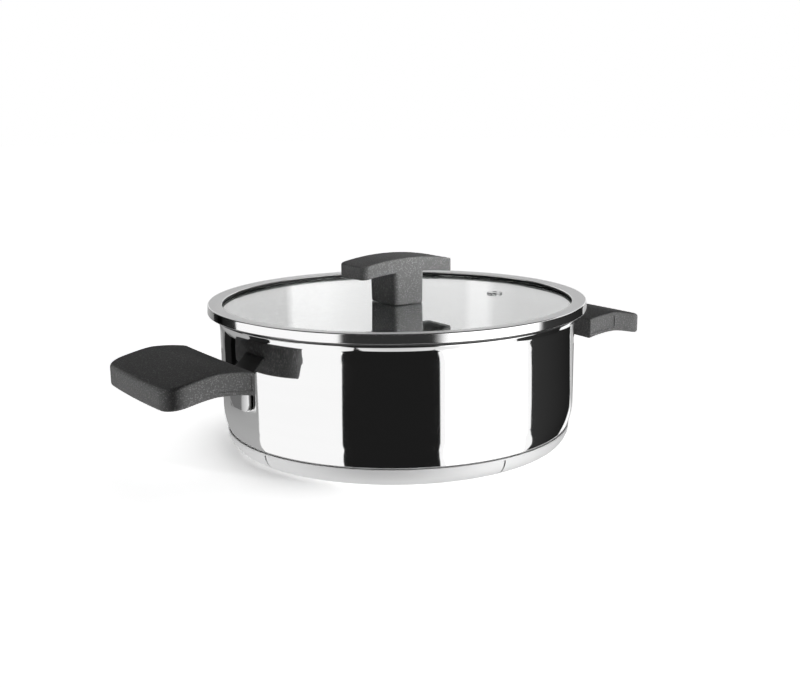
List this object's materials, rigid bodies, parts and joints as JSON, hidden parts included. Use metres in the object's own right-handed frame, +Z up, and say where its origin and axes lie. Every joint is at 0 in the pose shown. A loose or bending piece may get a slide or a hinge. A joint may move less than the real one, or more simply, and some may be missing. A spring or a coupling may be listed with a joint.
{
  "type": "casserole pan with lid",
  "caption": "Shallow round steel casserole pan with two moulded side grips, a capped sandwich base and a flat glass lid with steel rim, steam vent and T-shaped knob.",
  "frame": {"origin": "middle of the base's underside, on the pan's axis", "axes": "+X through the middle of one side grip, +Z up along the pan's axis, so the other grip lies on -X"},
  "size_m": [0.3856, 0.2568, 0.1272],
  "materials": {
    "polished_steel": "mirror polished stainless steel",
    "satin_steel": "satin stainless steel",
    "bright_steel": "bright turned steel",
    "aluminium": "pressed aluminium",
    "brass": "turned brass",
    "phenolic": "black moulded phenolic with a fine grain",
    "silicone": "matt black silicone",
    "glass": "clear toughened glass"
  },
  "bodies": {
    "pan": {"pot_body": "polished_steel", "base_cap": "satin_steel", "base_core": "aluminium", "bracket_left": "polished_steel", "bracket_right": "polished_steel", "grip_left": "phenolic", "grip_right": "phenolic", "grip_screw_left": "bright_steel", "grip_screw_right": "bright_steel", "grip_washer_left": "bright_steel", "grip_washer_right": "bright_steel"},
    "lid": {"lid_ring": "satin_steel", "ring_gasket": "silicone", "lid_glass": "glass", "vent_eyelet": "bright_steel", "knob": "phenolic", "knob_insert": "brass", "knob_pad": "silicone", "knob_seal": "silicone", "knob_washer": "bright_steel", "knob_screw": "bright_steel"}
  },
  "joints": [
    {"name": "lid_lift", "type": "slide", "parent": "pan", "child": "lid", "axis": [0, 0, 1], "range_m": [0, 0.12]}
  ]
}
